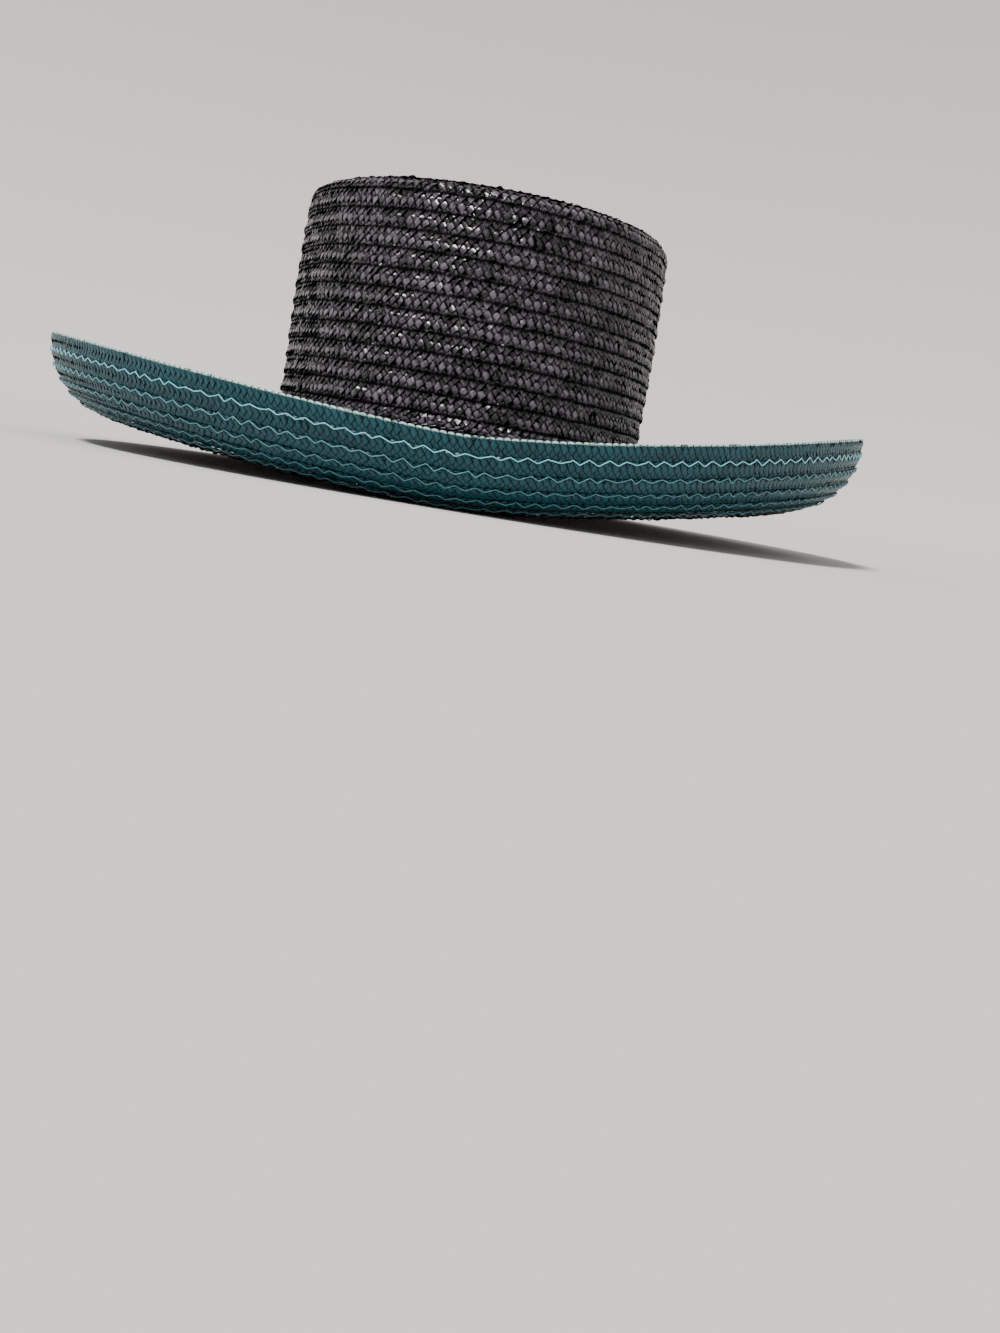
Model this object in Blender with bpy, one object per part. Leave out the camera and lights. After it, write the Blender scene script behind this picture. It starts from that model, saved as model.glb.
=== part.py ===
# Wide-brim straw hat sewn from lapped rows of plaited braid, resting on its brim.
# Metres, +Z up, the front of the hat towards -Y. Every piece is a stretch of one curved sheet,
# which runs from the middle of the tip, over the shoulder, down the side and out to the rim.

import math

import bmesh
import bpy

# Crown, measured along the sheet from the middle of the tip outwards.
tip_flat = 0.0764             # flat top, from its middle line to the start of the shoulder
shoulder_arc = 0.009
upper_side = 0.040
lower_side = 0.032
flare_arc = 0.014             # where the side starts to spread
foot_arc = 0.009              # where the side turns out into the brim
oval_extra = 0.017            # by how much each oval is longer than it is wide, per half

shoulder_lean = -87.0         # directions in degrees: 0 runs straight out, -90 straight down
waist_lean = -89.5
low_side_lean = -91.0
flare_lean = -87.0

# Brim, on from the foot of the crown.
brim_straight = 0.0615
curl_arc = 0.0550             # the stretch that rolls up to the rim
curl_turn = 107.5             # degrees
front_slope = -24.5           # of the straight stretch, at the front and the back
right_rise = 18.0             # degrees added to that slope at +X
left_rise = 10.5              # degrees added at -X
rise_power = 1.4              # above 1 keeps the front and the back low for longer
border_width = 0.0395         # teal rows, the last part of the curl

# Braid and sheet.
crown_row = 0.0079            # width that shows of one row of braid
brim_row = 0.0080
border_row = 0.0066
tip_start = 0.004             # half width of the short straight row that the spiral starts on
sheet_thickness = 0.0020
lap_step = 0.0009             # height of the edge of a row over the next one
piece_gap = 0.0003

# Facets.
around = 48                   # facets round each oval
widest_turn = 24.0            # degrees that the sheet may turn within one facet


def clear_scene():
    for old in list(bpy.data.objects):
        bpy.data.objects.remove(old, do_unlink=True)


def brim_slope(angle):
    """Slope in degrees of the brim's straight stretch: low at front and back, raised at the sides."""
    side = math.cos(angle)
    rise = right_rise if side > 0 else left_rise
    return front_slope + rise * abs(side) ** rise_power


def sheet_sections(angle):
    """Stretches of the sheet's profile from the tip outwards: their length and the direction each ends in."""
    slope = brim_slope(angle)
    return (
        ("tip_flat", tip_flat, 0.0),
        ("shoulder", shoulder_arc, shoulder_lean),
        ("upper_side", upper_side, waist_lean),
        ("lower_side", lower_side, low_side_lean),
        ("flare", flare_arc, flare_lean),
        ("foot", foot_arc, slope),
        ("brim_straight", brim_straight, slope),
        ("curl", curl_arc, slope + curl_turn),
    )


def sheet_point(angle, distance, offset):
    """Point at a distance along the sheet and an offset out of its top face, as the profile stands at angle."""
    half_width = height = direction = 0.0
    left = distance
    for name, length, end_direction in sheet_sections(angle):
        used = min(left, length)
        start = math.radians(direction)
        turn = math.radians(end_direction - direction) * used / length
        if abs(turn) < 1e-6:
            half_width += used * math.cos(start)
            height += used * math.sin(start)
        else:
            radius = used / turn
            half_width += radius * (math.sin(start + turn) - math.sin(start))
            height += radius * (math.cos(start) - math.cos(start + turn))
        left -= used
        if left <= 1e-9:
            break
        direction = end_direction
    heading = start + turn
    half_width -= offset * math.sin(heading)
    height += offset * math.cos(heading)
    return (
        half_width * math.cos(angle),
        (half_width + oval_extra) * math.sin(angle),
        height,
    )


def bend_stations(start, end):
    """Distances between start and end at which the profile needs a ring to stay round."""
    stations = []
    begin = direction = 0.0
    flattest = sheet_sections(math.pi / 2)
    steepest = sheet_sections(0.0)
    for (name, length, low_end), (_, _, high_end) in zip(flattest, steepest):
        turn = max(abs(low_end - direction), abs(high_end - direction))
        steps = max(1, math.ceil(turn / widest_turn))
        stations += [begin + length * step / steps for step in range(steps + 1)]
        begin += length
        direction = low_end
    clear = sheet_thickness / 2
    return [s for s in stations if start + clear < s < end - clear]


def stepped_face(start, end, rows, side):
    """Profile of a lapped face: each row starts under the one before it and ends over the next."""
    width = (end - start) / rows
    points = []
    for row in range(rows):
        first = start + row * width
        inside = bend_stations(first, first + width)
        for distance in [first, *inside, first + width]:
            share = (distance - first) / width
            lap = lap_step * (share - 0.5)
            points.append((distance, side * (sheet_thickness / 2 + lap)))
    return points


def plain_face(start, end, side):
    distances = [start, *bend_stations(start, end), end]
    return [(distance, side * sheet_thickness / 2) for distance in distances]


def straw_material(name, colour, roughness):
    material = bpy.data.materials.new(name)
    material.use_nodes = True
    shader = material.node_tree.nodes["Principled BSDF"]
    shader.inputs["Base Color"].default_value = (*colour, 1.0)
    shader.inputs["Roughness"].default_value = roughness
    shader.inputs["Metallic"].default_value = 0.0
    return material


def oval_rings(mesh, profile):
    """One ring of vertices round the hat for each point of the profile."""
    angles = [2 * math.pi * step / around for step in range(around)]
    return [
        [mesh.verts.new(sheet_point(angle, distance, offset)) for angle in angles]
        for distance, offset in profile
    ]


def bridge(mesh, ring, next_ring):
    for step in range(around):
        after = (step + 1) % around
        mesh.faces.new((ring[step], ring[after], next_ring[after], next_ring[step]))


def finish_piece(mesh, name, material):
    bmesh.ops.recalc_face_normals(mesh, faces=mesh.faces)
    data = bpy.data.meshes.new(name)
    mesh.to_mesh(data)
    mesh.free()
    data.shade_smooth()
    data.set_sharp_from_angle(angle=math.radians(widest_turn + 6.0))
    data.materials.append(material)
    piece = bpy.data.objects.new(name, data)
    bpy.context.scene.collection.objects.link(piece)
    return piece


def band(name, top_profile, under_profile, material):
    """A ring of sheet, closed along its inner and its outer edge."""
    mesh = bmesh.new()
    rings = oval_rings(mesh, top_profile + under_profile[::-1])
    for index, ring in enumerate(rings):
        bridge(mesh, ring, rings[(index + 1) % len(rings)])
    return finish_piece(mesh, name, material)


def cap(name, top_profile, under_profile, material):
    """A lid of sheet: its two faces meet at its outer edge and are closed flat in the middle."""
    mesh = bmesh.new()
    rings = oval_rings(mesh, top_profile + under_profile[::-1])
    for ring, next_ring in zip(rings, rings[1:]):
        bridge(mesh, ring, next_ring)
    mesh.faces.new(rings[0])
    mesh.faces.new(rings[-1])
    return finish_piece(mesh, name, material)


def row_count(length, row_width):
    return max(1, round(length / row_width))


def build_crown_tip(material, end):
    rows = row_count(end - tip_start, crown_row)
    middle_row = (tip_start, (sheet_thickness + lap_step) / 2)
    top = [middle_row, *stepped_face(tip_start, end, rows, 1)]
    under = plain_face(tip_start, end, -1)
    return cap("crown_tip", top, under, material)


def build_crown_side(material, start, end):
    rows = row_count(end - start, crown_row)
    outside = stepped_face(start, end, rows, 1)
    inside = plain_face(start, end, -1)
    return band("crown_side", outside, inside, material)


def build_brim(material, start, end):
    rows = row_count(end - start, brim_row)
    top = stepped_face(start, end, rows, 1)
    under = plain_face(start, end, -1)
    return band("brim", top, under, material)


def build_brim_border(material, start, end):
    rows = row_count(end - start, border_row)
    inside = plain_face(start, end, 1)
    outside = stepped_face(start, end, rows, -1)
    return band("brim_border", inside, outside, material)


def stand_on_floor(pieces, parent):
    """Lowest point of the hat at height 0, and the middle of its box on the Z axis."""
    corners = [vertex.co for piece in pieces for vertex in piece.data.vertices]
    lowest = [min(corner[axis] for corner in corners) for axis in range(3)]
    highest = [max(corner[axis] for corner in corners) for axis in range(3)]
    parent.location = (
        -(lowest[0] + highest[0]) / 2,
        -(lowest[1] + highest[1]) / 2,
        -lowest[2],
    )
    for piece in pieces:
        piece.parent = parent


def build_hat():
    clear_scene()
    black_straw = straw_material("black_straw", (0.022, 0.019, 0.024), 0.42)
    teal_straw = straw_material("teal_straw", (0.018, 0.110, 0.125), 0.40)

    crown_seam = tip_flat + shoulder_arc
    foot_seam = crown_seam + upper_side + lower_side + flare_arc + foot_arc
    rim = foot_seam + brim_straight + curl_arc
    border_seam = rim - border_width
    half_gap = piece_gap / 2

    pieces = [
        build_crown_tip(black_straw, crown_seam - half_gap),
        build_crown_side(black_straw, crown_seam + half_gap, foot_seam - half_gap),
        build_brim(black_straw, foot_seam + half_gap, border_seam - half_gap),
        build_brim_border(teal_straw, border_seam + half_gap, rim),
    ]
    hat = bpy.data.objects.new("straw_hat", None)
    bpy.context.scene.collection.objects.link(hat)
    stand_on_floor(pieces, hat)
    bpy.context.view_layer.update()


build_hat()
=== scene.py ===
import math

import bpy
import numpy as np
from mathutils import Matrix, Vector


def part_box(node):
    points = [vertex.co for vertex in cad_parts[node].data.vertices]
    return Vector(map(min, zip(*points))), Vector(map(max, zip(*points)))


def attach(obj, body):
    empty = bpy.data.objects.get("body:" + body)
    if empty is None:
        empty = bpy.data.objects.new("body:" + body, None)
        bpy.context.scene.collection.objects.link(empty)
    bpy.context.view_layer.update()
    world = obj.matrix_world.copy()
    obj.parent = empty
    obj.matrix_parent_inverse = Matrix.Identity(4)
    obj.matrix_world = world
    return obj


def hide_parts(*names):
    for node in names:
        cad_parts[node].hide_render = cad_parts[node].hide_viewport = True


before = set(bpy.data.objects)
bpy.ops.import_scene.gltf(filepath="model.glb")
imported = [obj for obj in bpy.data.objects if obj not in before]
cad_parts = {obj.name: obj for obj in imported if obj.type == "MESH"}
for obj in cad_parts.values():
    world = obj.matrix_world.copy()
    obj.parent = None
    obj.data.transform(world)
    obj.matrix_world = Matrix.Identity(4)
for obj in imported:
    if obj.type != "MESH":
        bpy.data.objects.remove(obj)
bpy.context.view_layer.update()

mm = 0.001
fullTurn = 2 * math.pi

# The curved sheet that the braid is sewn into, as lengths along it from the middle of the tip.
hatSheet = {
    "tipFlat": 76.4 * mm,
    "shoulder": 9.0 * mm,
    "upperSide": 40.0 * mm,
    "lowerSide": 32.0 * mm,
    "flare": 14.0 * mm,
    "foot": 9.0 * mm,
    "brimStraight": 61.5 * mm,
    "curl": 55.0 * mm,
    "borderWidth": 39.5 * mm,
    "ovalExtra": 17.0 * mm,      # half length less half width of each oval
    "shoulderLean": -87.0,       # directions in degrees, 0 is straight out
    "waistLean": -89.5,
    "lowSideLean": -91.0,
    "flareLean": -87.0,
    "frontSlope": -24.5,
    "rightRise": 18.0,
    "leftRise": 10.5,
    "risePower": 1.4,
    "curlTurn": 107.5,
    "topStep": 1.45 * mm,        # from the sheet's middle to the highest row edge
}

tipSeam = hatSheet["tipFlat"] + hatSheet["shoulder"]
footSeam = tipSeam + hatSheet["upperSide"] + hatSheet["lowerSide"] + hatSheet["flare"] + hatSheet["foot"]
rimLine = footSeam + hatSheet["brimStraight"] + hatSheet["curl"]
borderSeam = rimLine - hatSheet["borderWidth"]

crownLow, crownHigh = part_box("crown_side")
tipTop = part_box("crown_tip")[1].z
sheetOrigin = np.array([
    (crownLow.x + crownHigh.x) / 2,
    (crownLow.y + crownHigh.y) / 2,
    tipTop - hatSheet["topStep"],
])


def sheetSections(angle):
    # each stretch of the profile: its length and the direction it ends in
    side = np.cos(angle)
    rise = np.where(side > 0, hatSheet["rightRise"], hatSheet["leftRise"])
    slope = hatSheet["frontSlope"] + rise * np.abs(side) ** hatSheet["risePower"]
    return (
        (hatSheet["tipFlat"], 0.0),
        (hatSheet["shoulder"], hatSheet["shoulderLean"]),
        (hatSheet["upperSide"], hatSheet["waistLean"]),
        (hatSheet["lowerSide"], hatSheet["lowSideLean"]),
        (hatSheet["flare"], hatSheet["flareLean"]),
        (hatSheet["foot"], slope),
        (hatSheet["brimStraight"], slope),
        (hatSheet["curl"], slope + hatSheet["curlTurn"]),
    )


def sheetPoints(angle, distance, offset):
    # places on the sheet, offset out of its top face
    angle, distance, offset = np.broadcast_arrays(angle, distance, offset)
    sections = sheetSections(angle)
    halfWidth = np.minimum(distance, 0.0)
    height = np.zeros(angle.shape)
    heading = np.zeros(angle.shape)
    direction = np.zeros(angle.shape)
    left = np.maximum(distance, 0.0)
    for number, (length, end) in enumerate(sections):
        last = number == len(sections) - 1
        used = left if last else np.minimum(left, length)
        start = np.radians(direction)
        turn = np.radians(end - direction) * used / length
        straight = np.abs(turn) < 1e-7
        radius = used / np.where(straight, 1.0, turn)
        outward = np.where(straight, used * np.cos(start), radius * (np.sin(start + turn) - np.sin(start)))
        upward = np.where(straight, used * np.sin(start), radius * (np.cos(start) - np.cos(start + turn)))
        halfWidth = halfWidth + outward
        height = height + upward
        heading = np.where(left > 0, start + turn, heading)
        left = left - used
        direction = np.where(left > 0, end, direction)
    halfWidth = halfWidth - offset * np.sin(heading)
    height = height + offset * np.cos(heading)
    return np.stack([
        halfWidth * np.cos(angle) + sheetOrigin[0],
        (halfWidth + hatSheet["ovalExtra"]) * np.sin(angle) + sheetOrigin[1],
        height + sheetOrigin[2],
    ], axis=-1)


def angleAt(turn):
    # a turn begins at the back of the hat and runs anticlockwise, as seen from above
    return -1.5 * math.pi + fullTurn * turn


def smoothStep(share):
    share = np.clip(share, 0.0, 1.0)
    return share * share * (3 - 2 * share)


def slowWaves(seed, size):
    # slow wander of a sewn row, the same at each run
    draw = np.random.default_rng(seed)
    rates = draw.uniform(40.0, 210.0, 5)
    phases = draw.uniform(0, fullTurn, 5)
    return lambda along: size * sum(np.sin(rate * along + phase) for rate, phase in zip(rates, phases)) / 3


def layOut(edge, firstTurn, lastTurn, width, samples):
    # length along the braid's middle against its turn
    turn = np.linspace(firstTurn, lastTurn, int((lastTurn - firstTurn) * samples) + 1)
    middle = sheetPoints(angleAt(turn), edge(turn) - width / 2, 0.0)
    steps = np.linalg.norm(np.diff(middle, axis=0), axis=1)
    return turn, np.concatenate([[0.0], np.cumsum(steps)])


def stripFaces(strips, rows, columns):
    # two triangles for each square of the strips, each of them a grid of points
    base = (np.arange(strips) * rows * columns)[:, None, None]
    corner = base + (np.arange(rows - 1) * columns)[:, None] + np.arange(columns - 1)
    near = np.stack([corner, corner + columns + 1, corner + columns], axis=-1)
    far = np.stack([corner, corner + 1, corner + columns + 1], axis=-1)
    return np.stack([near, far], axis=-2).reshape(-1, 3)


def meshParts(points, faces, shades, fibre):
    return points.reshape(-1, 3), faces, shades.reshape(-1, 3), fibre.reshape(-1, 2)


# Plait. A run is a length of sewn braid: its outer edge on the sheet, its tilt and its turn, each against
# the length along it, and where its straws start, counted in straws.
plaitHabits = {
    "foldZone": 0.75,            # crossings from a fold within which the straws keep at least foldCover
    "foldReach": 0.24,           # points nearer to a fold than this lie on it
    "foldRise": 0.45,            # how far a straw rises beside its folds
    "widths": 0.35,              # how much of the braid's unevenness goes into the straws' widths,
    "places": 0.18,              # into their places along the braid,
    "heights": 0.8,              # into their heights
    "tilts": 1.4,                # and into their tilts
    "cellTone": (0.1, 0.6),      # tone of each stretch from crossing to crossing
    "strawTone": (0.0, 0.3),     # and of the whole straw, added to it
    "lapFade": 0.08,             # share of the width over which the painted shade of a lap ends
    "paintedGlintFrom": 0.88,            # share of the width at which the painted highlight along the outer edge begins
    "fibreLengths": 40,          # different stretches of fibre to cut the straws from
    "lumps": 0.10 * mm,          # slow rise and fall of a row
}


def braidPoints(braid, run, along, across, high, outward=0.0):
    # along is counted in straws and across runs from the inner edge, 0, to the outer edge, 1
    length = along * braid["repeat"]
    turn = run["turnAt"](length)
    lean = run["tilt"](turn)
    lift = braid["lap"] * (lean * 2 * across - 1) + lean * braid["bulge"] * np.sin(math.pi * across)
    lift = lift + slowWaves(braid["seed"] + 1, plaitHabits["lumps"])(length)
    wander = slowWaves(braid["seed"], braid["wave"])(length)
    distance = run["edge"](turn) - (1 - across) * braid["width"] + outward + wander
    return sheetPoints(angleAt(turn), distance, high + lift)


def foldStraws(braid, starts, station, uneven):
    # Each straw is a straight strip that is folded back at both edges of the braid. It starts at the
    # inner edge, slants down to the outer edge and up again.
    levels = braid["levels"]
    column = np.array([-1.0, 0.0, 1.0])                # left edge, middle and right edge of the straw
    goingDown = smoothStep(levels - station + 0.5)
    cover = braid["coverUp"] + (braid["coverDown"] - braid["coverUp"]) * goingDown
    byFold = np.abs(station - levels) < plaitHabits["foldZone"]
    cover = np.where(byFold, np.maximum(cover, braid["foldCover"]), cover)
    cover = cover * (1 + uneven("widths"))
    along = starts[:, None, None] + station[:, None] / 2 + column * cover[..., None] / 4
    along = along + uneven("places")[..., None]
    unfolded = station[:, None] - column * cover[..., None] / 2
    fold = np.rint(unfolded / levels) * levels
    atFold = np.abs(unfolded - fold) < plaitHabits["foldReach"]
    unfolded = np.where(atFold, fold, unfolded)
    onTop = np.where(unfolded % (2 * levels) < levels, 1.0, -1.0)
    return {
        "station": station,
        "column": column,
        "goingDown": goingDown[:, None],
        "along": along,
        "across": np.abs((unfolded + levels) % (2 * levels) - levels) / levels,
        "atFold": atFold,
        "front": np.where(atFold, 0.0, onTop),
        "faceUp": column * (1 - 2 * goingDown[:, None]),
    }


def weaveStraws(braid, straws, uneven, draw):
    # over and under the others by turns: how high each straw lies, and how far its folds stand out
    levels = braid["levels"]
    station, column = straws["station"], straws["column"]
    swing = np.cos(math.pi * (levels - station))
    nearFold = np.abs(station % levels - levels / 2) > levels / 2 - plaitHabits["foldZone"]
    swing = np.where(nearFold & (np.abs(swing) < 0.5), plaitHabits["foldRise"], swing)[:, None]
    arch = braid["edgeShare"] + (1 - braid["edgeShare"]) * (1 - column ** 2)
    high = straws["front"] * (swing - braid["favour"]) * arch * (1 + uneven("heights"))[..., None]
    high = high + uneven("tilts")[..., None] * column + braid["slant"] * straws["faceUp"]
    high = high * braid["rise"] + braid["crumple"] * draw.standard_normal(high.shape)
    outward = np.where(straws["across"] > 0.5, 1.0, -1.0) * braid["foldOut"] * (1 - column ** 2)
    return swing, high, np.where(straws["atFold"], outward, 0.0)


def shadeStraws(braid, straws, swing, cell, draw):
    # three numbers for each point: the straw's tone with its painted light, the painted shade of the lap,
    # and how clear of others it lies, which sets the painted shade between straws
    across, atFold, front = straws["across"], straws["atFold"], straws["front"]
    count = len(straws["along"])
    cells = draw.uniform(*plaitHabits["cellTone"], (count, 2 * braid["levels"] + 2))[:, cell]
    tone = cells + draw.uniform(*plaitHabits["strawTone"], count)[:, None]
    tone = tone + slowWaves(braid["seed"] + 2, braid["patchy"])(straws["along"][..., 1] * braid["repeat"])
    # painted shade on the straws that slant down, and painted light on each straw's upper edge
    tone = tone[..., None] - braid["paintedDimDown"] * straws["goingDown"]
    tone = tone - braid["paintedUpperLight"] * braid["shownSide"] * straws["faceUp"]
    # painted highlight along each straw's outer edge
    paintedGlintFrom = plaitHabits["paintedGlintFrom"]
    tone = tone + braid["paintedGlint"] * smoothStep((across - paintedGlintFrom) / (1 - paintedGlintFrom))
    # painted shade under the row before, on whichever face shows
    outerShade = smoothStep((across - braid["hidden"]) / plaitHabits["lapFade"])
    innerShade = smoothStep((1 - across - braid["hidden"]) / plaitHabits["lapFade"])
    shows = (front * swing * braid["shownSide"] > 0) | (atFold & (across > 0.5))
    crossing = np.where(front < 0, 1 - braid["coverDown"], 1 - braid["coverUp"])
    clear = front * swing + braid["shownSide"] * crossing
    return np.stack([tone, np.where(shows, outerShade, innerShade), np.where(atFold, 1.0, clear)], axis=-1)


def plaitMesh(braid, run, draw):
    starts = run["starts"]
    cells = 2 * braid["levels"] + 2
    station = np.arange(4 * braid["levels"] + 1) / 2   # crossings gone by along the straw
    cell = np.rint(station + 0.01).astype(int)         # the crossing that each of them belongs to

    def uneven(habit):
        spread = plaitHabits[habit] * braid["unevenness"]
        return spread * draw.standard_normal((len(starts), cells))[:, cell]

    straws = foldStraws(braid, starts, station, uneven)
    swing, high, outward = weaveStraws(braid, straws, uneven, draw)
    along = straws["along"]
    points = braidPoints(braid, run, along, straws["across"], high, outward)
    shades = shadeStraws(braid, straws, swing, cell, draw)
    cutFrom = draw.integers(0, plaitHabits["fibreLengths"], len(starts))[:, None] * 2.0
    fibre = np.stack([
        np.broadcast_to((cutFrom + station)[..., None], along.shape),
        np.broadcast_to(straws["column"] * 0.5 + 0.5, along.shape),
    ], axis=-1)
    faces = stripFaces(len(starts), len(station), len(straws["column"]))
    return meshParts(points, faces, shades, fibre)


# Shade strip: a dark strip inside each row, so that no light falls through between the straws; all of it
# takes the painted shade colour.
shadeStrip = {
    "depth": 0.12 * mm,          # under the row's middle
    "across": (0.04, 0.35, 0.65, 0.96),
    "tone": 0.3,
}


def shadeStripMesh(braid, run):
    starts = run["starts"]
    steps = 2 * len(starts)
    first = starts[0] + braid["levels"] / 2
    along = np.linspace(first, first + len(starts), steps + 1)[:, None]
    along, across = np.broadcast_arrays(along, np.array(shadeStrip["across"]))
    points = braidPoints(braid, run, along, across, -shadeStrip["depth"] * braid["shownSide"])
    # no lap light and no clearance, so all of it is in the painted shade colour
    none = np.zeros(points.shape[:-1])
    shades = np.stack([none + shadeStrip["tone"], none, none], axis=-1)
    fibre = np.stack([along * 2, across], axis=-1)
    return meshParts(points, stripFaces(1, steps + 1, len(shadeStrip["across"])), shades, fibre)


# Loose ends: short bits of straw that stand out at the edge of a row, each a bent strip.
looseEnds = {
    "share": 0.012,              # of the straws that have one
    "length": (1.4 * mm, 3.6 * mm),
    "width": 0.55 * mm,
    "startWidth": 1.1,           # times the width at its start, and 1 less at its tip
    "lift": 1.0 * mm,            # of its tip, at most
    "leastLift": 0.1,            # share of that
    "bend": 1.5,                 # 1 is straight, above that it bends up towards its tip
    "heading": 1.1,              # radians from straight out, to either side
    "inset": 0.6 * mm,           # where it starts, in from the edge
    "tone": (0.4, 1.0),
}


def looseMesh(braid, run, starts, draw):
    chosen = starts[draw.uniform(0, 1, len(starts)) < looseEnds["share"]][:, None, None]
    count = len(chosen)
    oneEach = lambda low, high: draw.uniform(low, high, count)[:, None, None]
    length = oneEach(*looseEnds["length"])
    heading = oneEach(-looseEnds["heading"], looseEnds["heading"])
    station = np.array([0.0, 0.5, 1.0])[:, None]
    column = np.array([-0.5, 0.5])
    side = column * looseEnds["width"] * (looseEnds["startWidth"] - station)
    along = chosen * braid["repeat"] + station * length * np.sin(heading) + side * np.cos(heading)
    turn = run["turnAt"](along)
    outward = station * length * np.cos(heading) - side * np.sin(heading)
    lift = looseEnds["lift"] * oneEach(looseEnds["leastLift"], 1.0)
    rise = braid["shownSide"] * lift * station ** looseEnds["bend"]
    distance = run["edge"](turn) + outward - looseEnds["inset"]
    points = sheetPoints(angleAt(turn), distance, braid["lap"] + rise)
    full = np.ones(points.shape[:-1])
    shades = np.stack([full * oneEach(*looseEnds["tone"]), full, full], axis=-1)
    fibre = np.stack([full * station, full * (column + 0.5)], axis=-1)
    return meshParts(points, stripFaces(count, len(station), len(column)), shades, fibre)


def meshPiece(name, points, faces, shades, fibre, material, creased):
    data = bpy.data.meshes.new(name)
    data.vertices.add(len(points))
    data.vertices.foreach_set("co", points.astype(np.float32).ravel())
    data.loops.add(faces.size)
    data.loops.foreach_set("vertex_index", faces.astype(np.int32).ravel())
    data.polygons.add(len(faces))
    data.polygons.foreach_set("loop_start", np.arange(len(faces), dtype=np.int32) * faces.shape[1])
    data.update(calc_edges=True)
    for number, layerName in enumerate(("strawTone", "lapShade", "strawShown")):
        layer = data.attributes.new(layerName, "FLOAT", "POINT")
        layer.data.foreach_set("value", shades[:, number].astype(np.float32))
    uv = data.uv_layers.new(name="alongStraw")
    uv.data.foreach_set("uv", fibre[faces.ravel()].astype(np.float32).ravel())
    if not creased:
        data.shade_smooth()
    data.materials.append(material)
    data.validate()
    piece = bpy.data.objects.new(name, data)
    bpy.context.scene.collection.objects.link(piece)
    return piece


# Finishes, with their painted shade and painted highlight colours

blackStraw = {
    "dark": (0.004, 0.0034, 0.0055),
    "light": (0.165, 0.145, 0.182),
    # painted shade colour, between the straws and under each row's lap
    "paintedShadeColour": (0.0006, 0.0005, 0.0008),
    # colour of the painted highlight along the edge
    "paintedGlint": (0.10, 0.09, 0.10),
    "span": (0.52, 1.20),        # of the tone, from dark to light
    "reflectionInPaintedShade": 0.0,
    "specular": 0.52,
    "roughness": 0.19,
    "pillow": 0.26 * mm,         # roundness of each straw where it shows
    "grain": 0.035 * mm,
}

tealStraw = {
    "dark": (0.003, 0.020, 0.028),
    "light": (0.007, 0.067, 0.088),
    # painted shade colour, between the straws and under each row's lap
    "paintedShadeColour": (0.0012, 0.009, 0.013),
    # colour of the painted highlight along the rim
    "paintedGlint": (0.45, 0.70, 0.68),
    "span": (0.30, 1.0),
    "reflectionInPaintedShade": 0.5,
    "specular": 0.30,
    "roughness": 0.30,
    "pillow": 0.16 * mm,
    "grain": 0.025 * mm,
}

paleThread = {
    "dark": (0.012, 0.075, 0.094),
    "light": (0.26, 0.68, 0.80),
    # painted shade colour, on the thread's shaded side
    "paintedShadeColour": (0.20, 0.40, 0.45),
    # colour of the painted highlight on the brightest thread line
    "paintedGlint": (0.45, 0.78, 0.86),
    "span": (0.30, 1.0),
    "reflectionInPaintedShade": 1.0,
    "specular": 0.30,
    "roughness": 0.35,
    "pillow": 0.0,
    "grain": 0.02 * mm,
}


def mathNode(nodes, links, operation, first, second=None, third=None):
    node = nodes.new("ShaderNodeMath")
    node.operation = operation
    for socket, value in zip(node.inputs, (first, second, third)):
        if value is None:
            continue
        if isinstance(value, bpy.types.NodeSocket):
            links.new(value, socket)
        else:
            socket.default_value = value
    return node.outputs[0]


def rangeNode(nodes, links, value, low, high, toLow=0.0, toHigh=1.0):
    node = nodes.new("ShaderNodeMapRange")
    node.interpolation_type = "SMOOTHSTEP"
    links.new(value, node.inputs["Value"])
    for socket, number in zip(("From Min", "From Max", "To Min", "To Max"), (low, high, toLow, toHigh)):
        node.inputs[socket].default_value = number
    return node.outputs["Result"]


materialHabits = {
    "fibreStretch": (1.1, 9.0, 1.0),     # the fibres run lengthwise
    "fibreScale": 1.6,
    "fibreDetail": 3.0,
    "crest": (0.0, 0.24),        # how clear of others a straw lies, from painted shade and low bump to full
    "side": (0.50, 0.40),        # from the straw's edge inwards, painted shade and low bump to full
    "toneWeight": 0.65,
    "pale": (1.2, 2.6),          # tones from which the painted highlight's colour comes in
    "glossFibres": (0.3, 0.7),   # fibre noise between which the roughness changes,
    "glossSpread": (-0.08, 0.10),        # by this much
    "dullCrevice": 0.45,         # added to the roughness in the crevices,
    "dullUntil": 0.6,            # and no more from this much light on
}


def attributeNode(nodes, name):
    node = nodes.new("ShaderNodeAttribute")
    node.attribute_name = name
    return node.outputs["Fac"]


def fibreNoise(nodes, links, uv):
    stretch = nodes.new("ShaderNodeMapping")
    stretch.inputs["Scale"].default_value = materialHabits["fibreStretch"]
    links.new(uv, stretch.inputs["Vector"])
    fibres = nodes.new("ShaderNodeTexNoise")
    fibres.inputs["Scale"].default_value = materialHabits["fibreScale"]
    fibres.inputs["Detail"].default_value = materialHabits["fibreDetail"]
    links.new(stretch.outputs["Vector"], fibres.inputs["Vector"])
    return fibres.outputs["Fac"]


def strawPillow(nodes, links, uv):
    # a straw is round across, for its bump, and in painted shade where it dips under its neighbour
    split = nodes.new("ShaderNodeSeparateXYZ")
    links.new(uv, split.inputs["Vector"])
    clear = mathNode(nodes, links, "ABSOLUTE", attributeNode(nodes, "strawShown"))
    crest = rangeNode(nodes, links, clear, *materialHabits["crest"])
    middle = mathNode(nodes, links, "SUBTRACT", split.outputs["Y"], 0.5)
    side = rangeNode(nodes, links, mathNode(nodes, links, "ABSOLUTE", middle), *materialHabits["side"])
    return mathNode(nodes, links, "MULTIPLY", crest, side)


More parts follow.
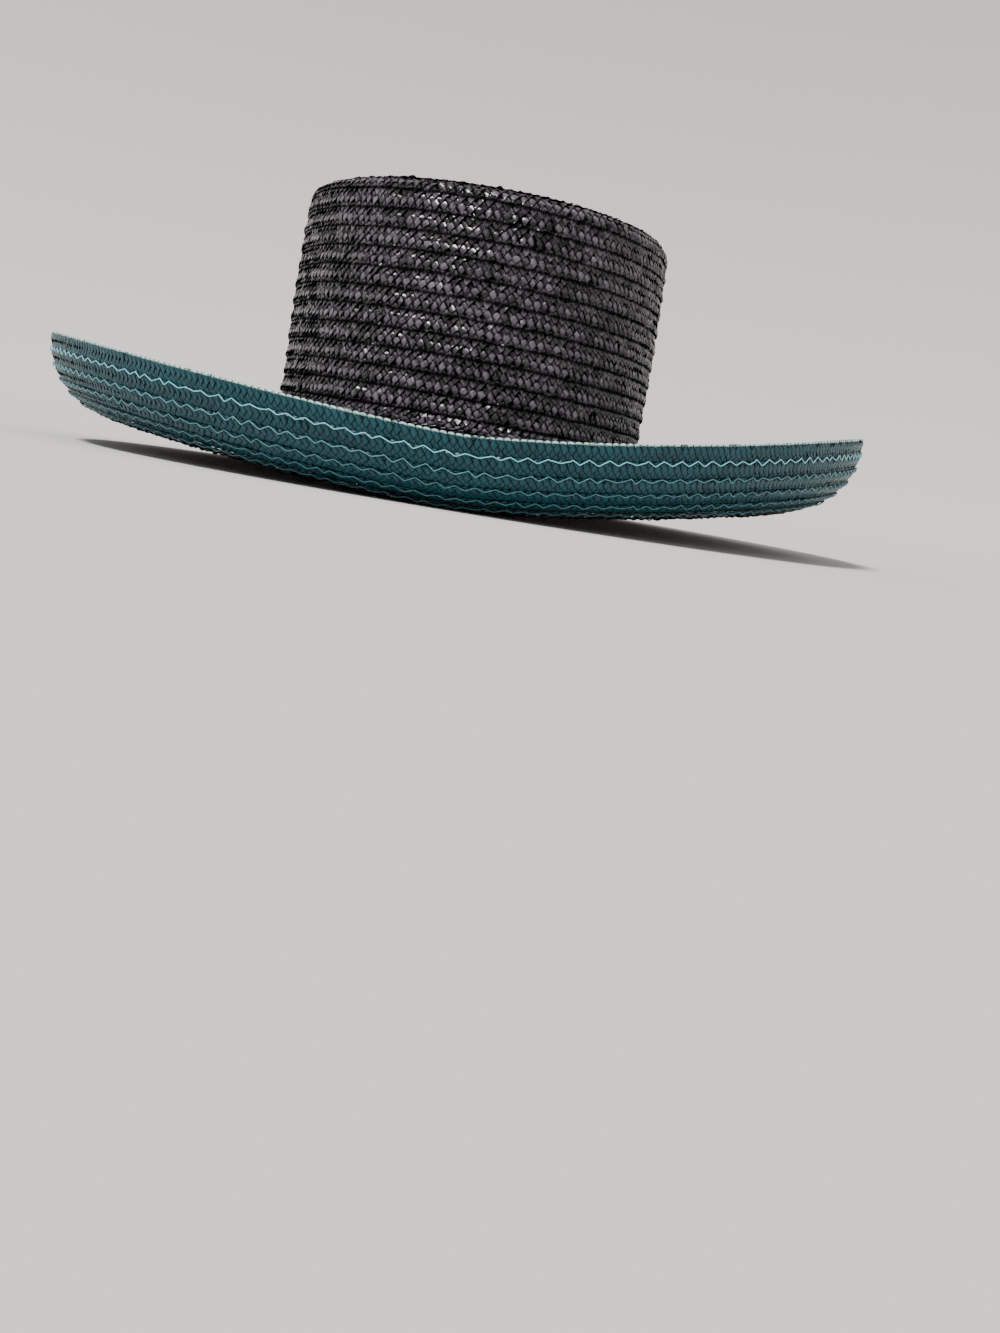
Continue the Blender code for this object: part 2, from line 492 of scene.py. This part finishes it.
def strawColour(nodes, links, look, fibres, lit):
    # the tone carries the straw's painted light and painted shade as well as its own random tone
    tone = attributeNode(nodes, "strawTone")
    blend = mathNode(nodes, links, "MULTIPLY_ADD", tone, materialHabits["toneWeight"], fibres)
    ramp = nodes.new("ShaderNodeValToRGB")
    ramp.color_ramp.elements[0].color = (*look["dark"], 1)
    ramp.color_ramp.elements[1].color = (*look["light"], 1)
    links.new(rangeNode(nodes, links, blend, *look["span"]), ramp.inputs["Fac"])
    # the painted highlight colour comes in at the highest tones
    pale = nodes.new("ShaderNodeMix")
    pale.data_type = "RGBA"
    links.new(rangeNode(nodes, links, tone, *materialHabits["pale"]), pale.inputs[0])
    links.new(ramp.outputs["Color"], pale.inputs[6])
    pale.inputs[7].default_value = (*look["paintedGlint"], 1)
    shade = nodes.new("ShaderNodeMix")
    shade.data_type = "RGBA"
    shade.inputs[6].default_value = (*look["paintedShadeColour"], 1)
    links.new(lit, shade.inputs[0])
    links.new(pale.outputs[2], shade.inputs[7])
    return shade.outputs[2]


def strawMaterial(name, look):
    material = bpy.data.materials.new(name)
    material.use_nodes = True
    nodes, links = material.node_tree.nodes, material.node_tree.links
    shader = nodes["Principled BSDF"]
    uv = nodes.new("ShaderNodeUVMap")
    uv.uv_map = "alongStraw"
    fibres = fibreNoise(nodes, links, uv.outputs["UV"])
    pillow = strawPillow(nodes, links, uv.outputs["UV"])
    # lit is a painted shade mask: towards 0 the colour goes over to the painted shade colour, between the
    # straws and under each row's lap
    lit = mathNode(nodes, links, "MULTIPLY", pillow, attributeNode(nodes, "lapShade"))
    links.new(strawColour(nodes, links, look, fibres, lit), shader.inputs["Base Color"])

    shader.inputs["Specular IOR Level"].default_value = look["specular"]
    # in the same places the reflection's tint is darkened, as painted shade
    if look["reflectionInPaintedShade"] < 1:
        tint = rangeNode(nodes, links, lit, 0.0, 1.0, look["reflectionInPaintedShade"], 1.0)
        links.new(tint, shader.inputs["Specular Tint"])
    low, high = (look["roughness"] + spread for spread in materialHabits["glossSpread"])
    gloss = rangeNode(nodes, links, fibres, *materialHabits["glossFibres"], low, high)
    dullUntil, dullCrevice = materialHabits["dullUntil"], materialHabits["dullCrevice"]
    dull = rangeNode(nodes, links, lit, 0.0, dullUntil, dullCrevice, 0.0)
    links.new(mathNode(nodes, links, "ADD", gloss, dull), shader.inputs["Roughness"])

    height = mathNode(nodes, links, "MULTIPLY", pillow, look["pillow"])
    height = mathNode(nodes, links, "MULTIPLY_ADD", fibres, look["grain"], height)
    bump = nodes.new("ShaderNodeBump")
    bump.inputs["Distance"].default_value = 1.0
    links.new(height, bump.inputs["Height"])
    links.new(bump.outputs["Normal"], shader.inputs["Normal"])
    return material


blackMaterial = strawMaterial("black_straw", blackStraw)
tealMaterial = strawMaterial("teal_straw", tealStraw)
threadMaterial = strawMaterial("pale_thread", paleThread)


def addPiece(name, parts, material, node, slot):
    counts = np.cumsum([0] + [len(part[0]) for part in parts[:-1]])
    points = np.concatenate([part[0] for part in parts])
    faces = np.concatenate([part[1] + count for part, count in zip(parts, counts)])
    shades = np.concatenate([part[2] for part in parts])
    fibre = np.concatenate([part[3] for part in parts])
    piece = meshPiece(name, points, faces, shades, fibre, material, slot == "black_straw")
    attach(piece, "root")
    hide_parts(node)
    print(name, len(faces), "triangles")


# Black braid: one long spiral from the middle of the tip to the border.
blackBraid = {
    "levels": 4,                 # crossings from one folded edge to the other
    "width": 9.7 * mm,
    "repeat": 3.66 * mm,         # between neighbouring straws along the braid
    "coverDown": 0.64,           # width of the straws that slant down, as a share of the repeat
    "coverUp": 1.02,             # and of those that slant up
    "foldCover": 0.94,           # and the least at the outer folds
    "rise": 0.50 * mm,           # a straw over and under its neighbour
    "edgeShare": 0.50,           # how much of that is left at the straw's own edges
    "favour": 0.25,              # how much higher the straws that slant up lie, as a share of the rise
    "slant": 0.42,               # how far each straw is tipped to face up, as a share of the rise
    "lap": 0.70 * mm,            # tilt of each row over the next one
    "bulge": 0.22 * mm,          # of the row's middle
    "foldOut": 0.25 * mm,        # how far the middle of each fold stands out
    "unevenness": 0.32,
    "crumple": 0.06 * mm,
    "wave": 0.22 * mm,           # slow wander of a row to either side
    "patchy": 0.12,              # slow change of tone along the braid
    "paintedUpperLight": 0.22,          # painted light: how much lighter a straw's upper edge is
    "paintedDimDown": 0.30,             # painted shade: how much dimmer the straws that slant down are
    "hidden": 0.26,              # share of the width in painted shade, under the row before
    "paintedGlint": 0.0,
    "shownSide": 1,              # the top face of the sheet is the one that shows
    "tipTurns": 11,
    "sideTurns": 12,
    "brimTurns": 10,
    "brimSplit": 6,              # of which this many are in the inner of its two pieces
    "firstTurn": 0.62,
    "firstRise": 0.4,            # turns in which the first length comes up from under the tip
    "looseFrom": 2.0,            # turn from which straws may have loose ends
    "stepOut": 0.10,             # share of a turn, to each side of the back, in which a brim row steps out
    "brimEase": 2.0,             # turns in which the spiral changes over to those steps
    "samples": 96,               # per turn, to measure its length
    "seed": 11,
}

tipEnd = blackBraid["tipTurns"]
sideEnd = tipEnd + blackBraid["sideTurns"]
brimEnd = sideEnd + blackBraid["brimTurns"]
spiralEnd = brimEnd + 1 + blackBraid["stepOut"] / 2     # the last row goes once round under the border
blackStretches = (
    # name, first and last turn, and the solid that this stretch of the spiral stands for
    ("crown_tip_plait", blackBraid["firstTurn"], tipEnd, "crown_tip"),
    ("crown_side_upper_plait", tipEnd, (tipEnd + sideEnd) / 2, "crown_side"),
    ("crown_side_lower_plait", (tipEnd + sideEnd) / 2, sideEnd, "crown_side"),
    ("brim_inner_plait", sideEnd, sideEnd + blackBraid["brimSplit"], "brim"),
    ("brim_outer_plait", sideEnd + blackBraid["brimSplit"], spiralEnd, "brim"),
)


def blackEdge(turn):
    # sheet distance of the spiral's outer edge, after so many turns round the hat
    sideRow = (footSeam - tipSeam) / blackBraid["sideTurns"]
    brimRow = (borderSeam - footSeam) / blackBraid["brimTurns"]
    crown = tipSeam + sideRow * (turn - tipEnd - 0.5)
    brimTurn = turn - sideEnd
    nearest = np.rint(brimTurn)
    level = nearest - 1 + smoothStep((brimTurn - nearest) / (2 * blackBraid["stepOut"]) + 0.5)
    level = np.minimum(level, blackBraid["brimTurns"])
    ease = np.clip(brimTurn / blackBraid["brimEase"], 0.0, 1.0)
    brim = footSeam + brimRow * ((1 - ease) * (brimTurn - 0.5) + ease * level)
    return np.where(brimTurn < 0, crown, brim)


def blackTilt(turn):
    # the first length and the last row lie low and level, under what laps over them
    stepOut = blackBraid["stepOut"]
    first = smoothStep((turn - blackBraid["firstTurn"]) / blackBraid["firstRise"])
    last = 1 - smoothStep((turn - brimEnd + stepOut) / (2 * stepOut))
    return np.minimum(first, last)


def buildBlackBraid():
    braid = blackBraid
    turn, length = layOut(blackEdge, braid["firstTurn"], spiralEnd + 0.1, braid["width"], braid["samples"])
    lengthAt = lambda wanted: np.interp(wanted, turn, length)
    run = {"edge": blackEdge, "tilt": blackTilt, "turnAt": lambda along: np.interp(along, length, turn)}
    for number, (name, begin, end, node) in enumerate(blackStretches):
        firstStraw = math.floor(lengthAt(begin) / braid["repeat"])
        lastStraw = math.floor(lengthAt(end) / braid["repeat"])
        run["starts"] = np.arange(firstStraw, lastStraw, dtype=float)
        draw = np.random.default_rng(braid["seed"] + number)
        plait = plaitMesh(braid, run, draw)
        past = run["starts"] * braid["repeat"] > lengthAt(braid["looseFrom"])
        loose = looseMesh(braid, run, run["starts"][past], draw)
        addPiece(name, [plait, loose, shadeStripMesh(braid, run)], blackMaterial, node, "black_straw")


# Teal braid: closed rows round the rim, with the same words as above.
tealBraid = {
    "levels": 4,
    "width": 8.8 * mm,
    "repeat": 2.76 * mm,
    "coverDown": 1.14,
    "coverUp": 0.74,
    "foldCover": 1.12,
    "rise": 0.34 * mm,
    "edgeShare": 0.50,
    "favour": 0.30,
    "slant": 0.30,
    "lap": -0.50 * mm,           # below zero the outer edge lies over on the underside
    "bulge": -0.20 * mm,
    "foldOut": 0.30 * mm,
    "unevenness": 0.18,
    "crumple": 0.06 * mm,
    "wave": 0.0,
    "patchy": 0.16,
    "paintedUpperLight": 0.16,
    # below zero the straws that slant down are lighter instead, as painted light
    "paintedDimDown": -0.20,
    "hidden": 0.24,
    "paintedGlint": 0.0,
    "rimPaintedGlint": 3.0,          # tone added along the rim, as a painted highlight
    "shownSide": -1,             # the underside shows
    "rows": 6,
    "samples": 720,
    "seed": 23,
}


def borderEdge(row):
    # the outer edge of a teal row, at the same sheet distance all round
    rowWidth = hatSheet["borderWidth"] / tealBraid["rows"]
    outer = rimLine - (tealBraid["rows"] - 1 - row) * rowWidth
    return lambda turn: np.full(np.shape(turn), outer)


def closedTurn(turn, length):
    # turn against the length along a closed row, also past its end
    def turnAt(along):
        whole = np.floor(along / length[-1])
        return whole + np.interp(along - whole * length[-1], length, turn)
    return turnAt


def borderRow(row):
    edge = borderEdge(row)
    turn, length = layOut(edge, 0, 1, tealBraid["width"], tealBraid["samples"])
    repeats = round(length[-1] / tealBraid["repeat"])
    braid = dict(tealBraid, repeat=length[-1] / repeats, seed=tealBraid["seed"] + row)
    if row == tealBraid["rows"] - 1:
        braid["paintedGlint"] = tealBraid["rimPaintedGlint"]
    run = {
        "edge": edge,
        "tilt": lambda turn: np.ones(np.shape(turn)),
        "turnAt": closedTurn(turn, length),
        "starts": np.arange(repeats, dtype=float),
    }
    draw = np.random.default_rng(braid["seed"])
    plait = plaitMesh(braid, run, draw)
    return [plait, shadeStripMesh(braid, run), looseMesh(braid, run, run["starts"], draw)]


def buildBorder():
    half = tealBraid["rows"] // 2
    for name, rows in (
        ("border_lower_plait", range(half)),
        ("border_upper_plait", range(half, tealBraid["rows"])),
    ):
        parts = [part for row in rows for part in borderRow(row)]
        addPiece(name, parts, tealMaterial, "brim_border", "teal_straw")


# Sewing thread: one zigzag line over the outer edge of each teal row but the last, on the underside.
zigzag = {
    "period": 7.2 * mm,
    "height": 1.4 * mm,
    "radius": 0.18 * mm,
    "offset": -1.22 * mm,        # out of the sheet's middle, below zero on the underside
    "inset": 0.1 * mm,           # from the row's edge
    "wrap": 0.16 * mm,           # how much lower it lies beyond the edge
    "jitter": 0.09,              # of its corners along the row, as a share of the period
    "sizeSpread": 0.25,
    "corner": ((0.0, 1.0), (0.06, 0.86), (0.25, 0.0), (0.44, -0.86),
               (0.50, -1.0), (0.56, -0.86), (0.75, 0.0), (0.94, 0.86)),     # share of the period, swing
    "sides": 5,
    "brightness": 0.25,          # tone of the line nearest the rim, down to 0 for the innermost,
    "firstLinePaintedHighlight": 1.2,            # and this much added to it, as a painted highlight so that it shines
    "seed": 31,
}


def zigzagLine(edge, draw):
    # the thread's middle line, and the direction out of the sheet along it
    turn, length = layOut(edge, 0, 1, 0.0, tealBraid["samples"])
    periods = round(length[-1] / zigzag["period"])
    share, swing = np.array(zigzag["corner"]).T
    place = (np.arange(periods)[:, None] + share).ravel()
    jitter = draw.normal(0, zigzag["jitter"], periods + 1)
    place = place + np.interp(place, np.arange(periods + 1), np.append(jitter[:-1], jitter[0]))
    size = 1 + zigzag["sizeSpread"] * draw.standard_normal(periods)
    swing = (swing * size[:, None]).ravel()
    angle = angleAt(np.interp(place / periods * length[-1] % length[-1], length, turn))
    distance = edge(angle) - zigzag["inset"] + swing * zigzag["height"] / 2
    offset = zigzag["offset"] + zigzag["wrap"] * swing
    middle = sheetPoints(angle, distance, offset)
    outside = sheetPoints(angle, distance, offset - 1 * mm) - middle
    return middle, outside / np.linalg.norm(outside, axis=1)[:, None]


def zigzagMesh(row, draw):
    middle, outside = zigzagLine(borderEdge(row), draw)
    ahead = np.roll(middle, -1, axis=0) - np.roll(middle, 1, axis=0)
    beside = np.cross(ahead / np.linalg.norm(ahead, axis=1)[:, None], outside)
    beside = beside / np.linalg.norm(beside, axis=1)[:, None]
    total, sides = len(middle), zigzag["sides"]
    side = np.arange(sides)
    spin = side * fullTurn / sides
    across = np.cos(spin)[:, None] * beside[:, None] + np.sin(spin)[:, None] * outside[:, None]
    points = middle[:, None] + zigzag["radius"] * across

    here = np.arange(total)[:, None] * sides
    after = (np.arange(total)[:, None] + 1) % total * sides
    follow = (side + 1) % sides
    first = np.stack([here + side, here + follow, after + follow], axis=-1)
    second = np.stack([here + side, after + follow, after + side], axis=-1)
    faces = np.concatenate([first.reshape(-1, 3), second.reshape(-1, 3)])

    lines = tealBraid["rows"] - 1
    # the line nearest the rim gets a painted highlight
    brightness = zigzag["brightness"] * row / (lines - 1) + zigzag["firstLinePaintedHighlight"] * (row == lines - 1)
    full = np.ones(total * sides)
    shades = np.stack([full * brightness, full, full], axis=-1)
    fibre = np.stack([np.repeat(np.arange(total) * 0.5, sides), np.tile(side / sides, total)], axis=-1)
    return meshParts(points, faces, shades, fibre)


def buildThread():
    draw = np.random.default_rng(zigzag["seed"])
    parts = [zigzagMesh(row, draw) for row in range(tealBraid["rows"] - 1)]
    addPiece("border_zigzag_thread", parts, threadMaterial, "brim_border", "pale_thread")


buildBlackBraid()
buildBorder()
buildThread()


# Stage, light and camera

paleFloor = {
    "light": (0.702, 0.693, 0.678),
    "dark": (0.689, 0.680, 0.665),
    "speckles": 3.0,             # scale of the slight change between the two
    "rings": (0.5, 1.5, 5.0, 20.0, 60.0),
    "sides": 96,
}


def buildStage():
    # a level floor that runs out to the horizon
    sides = paleFloor["sides"]
    points = [(0.0, 0.0, 0.0)]
    for radius in paleFloor["rings"]:
        for side in range(sides):
            angle = fullTurn * side / sides
            points.append((radius * math.cos(angle), radius * math.sin(angle), 0.0))
    faces = [(0, 1 + side, 1 + (side + 1) % sides) for side in range(sides)]
    for ring in range(len(paleFloor["rings"]) - 1):
        here = 1 + ring * sides
        for side in range(sides):
            after = (side + 1) % sides
            faces.append((here + side, here + sides + side, here + sides + after, here + after))
    data = bpy.data.meshes.new("floor")
    data.from_pydata(points, [], faces)
    floor = bpy.data.objects.new("floor", data)
    bpy.context.scene.collection.objects.link(floor)
    material = bpy.data.materials.new("pale_floor")
    material.use_nodes = True
    nodes, links = material.node_tree.nodes, material.node_tree.links
    shader = nodes["Principled BSDF"]
    shader.inputs["Roughness"].default_value = 1.0
    shader.inputs["Specular IOR Level"].default_value = 0.0
    speckle = nodes.new("ShaderNodeTexNoise")
    speckle.inputs["Scale"].default_value = paleFloor["speckles"]
    ramp = nodes.new("ShaderNodeValToRGB")
    ramp.color_ramp.elements[0].color = (*paleFloor["dark"], 1)
    ramp.color_ramp.elements[1].color = (*paleFloor["light"], 1)
    links.new(speckle.outputs["Fac"], ramp.inputs["Fac"])
    links.new(ramp.outputs["Color"], shader.inputs["Base Color"])
    data.materials.append(material)


studioLight = {
    "sky": ((0.0, 1.22), (0.30, 0.86), (0.70, 0.35)),     # sine of the height, and how bright it is there
    "skyColour": (1.0, 0.965, 0.915),
    "key": ((-0.45, -0.55, 1.15), 12.0, 4.0),             # from where, how wide in degrees, how strong
    "top": ((0.25, 0.1, 1.0), 50.0, 0.4),
    "sunColour": (1.0, 0.985, 0.96),
}


def buildLights():
    world = bpy.data.worlds.new("studio")
    bpy.context.scene.world = world
    world.use_nodes = True
    nodes, links = world.node_tree.nodes, world.node_tree.links
    direction = nodes.new("ShaderNodeTexCoord")
    split = nodes.new("ShaderNodeSeparateXYZ")
    links.new(direction.outputs["Generated"], split.inputs["Vector"])
    ramp = nodes.new("ShaderNodeValToRGB")
    elements = ramp.color_ramp.elements
    elements.new(0.5)
    for element, (height, brightness) in zip(elements, studioLight["sky"]):
        element.position = height
        element.color = (*(part * brightness for part in studioLight["skyColour"]), 1)
    links.new(split.outputs["Z"], ramp.inputs["Fac"])
    links.new(ramp.outputs["Color"], nodes["Background"].inputs["Color"])
    for name in ("key", "top"):
        place, width, power = studioLight[name]
        data = bpy.data.lights.new(name + "_light", "SUN")
        data.angle = math.radians(width)
        data.energy = power
        data.color = studioLight["sunColour"]
        light = bpy.data.objects.new(name + "_light", data)
        light.rotation_euler = (-Vector(place)).to_track_quat("-Z", "Y").to_euler()
        bpy.context.scene.collection.objects.link(light)


photoCamera = {
    "back": 719.25 * mm,         # in front of the crown's middle
    "down": 111.2 * mm,          # under the middle of the tip's wall
    "pan": 3.007,                # degrees
    "tilt": -7.318,
    "roll": 9.427,
    "focalPixels": 1500.0,
    "imageHeight": 1333.0,
}


def buildCamera():
    data = bpy.data.cameras.new("photo_camera")
    data.sensor_width = 36.0
    data.lens = data.sensor_width * photoCamera["focalPixels"] / photoCamera["imageHeight"]
    data.clip_start = 0.01
    pan, tilt, roll = (math.radians(photoCamera[key]) for key in ("pan", "tilt", "roll"))
    forward = Vector((math.sin(pan) * math.cos(tilt), math.cos(pan) * math.cos(tilt), math.sin(tilt)))
    right = forward.cross(Vector((0, 0, 1))).normalized()
    up = right.cross(forward)
    rolledRight = right * math.cos(roll) + up * math.sin(roll)
    rolledUp = up * math.cos(roll) - right * math.sin(roll)
    camera = bpy.data.objects.new("photo_camera", data)
    place = Vector(sheetOrigin) + Vector((0, -photoCamera["back"], -photoCamera["down"]))
    turn = Matrix((rolledRight, rolledUp, -forward)).transposed().to_4x4()
    camera.matrix_world = Matrix.Translation(place) @ turn
    bpy.context.scene.collection.objects.link(camera)
    bpy.context.scene.camera = camera


buildStage()
buildLights()
buildCamera()
print("stage, lights and camera placed")
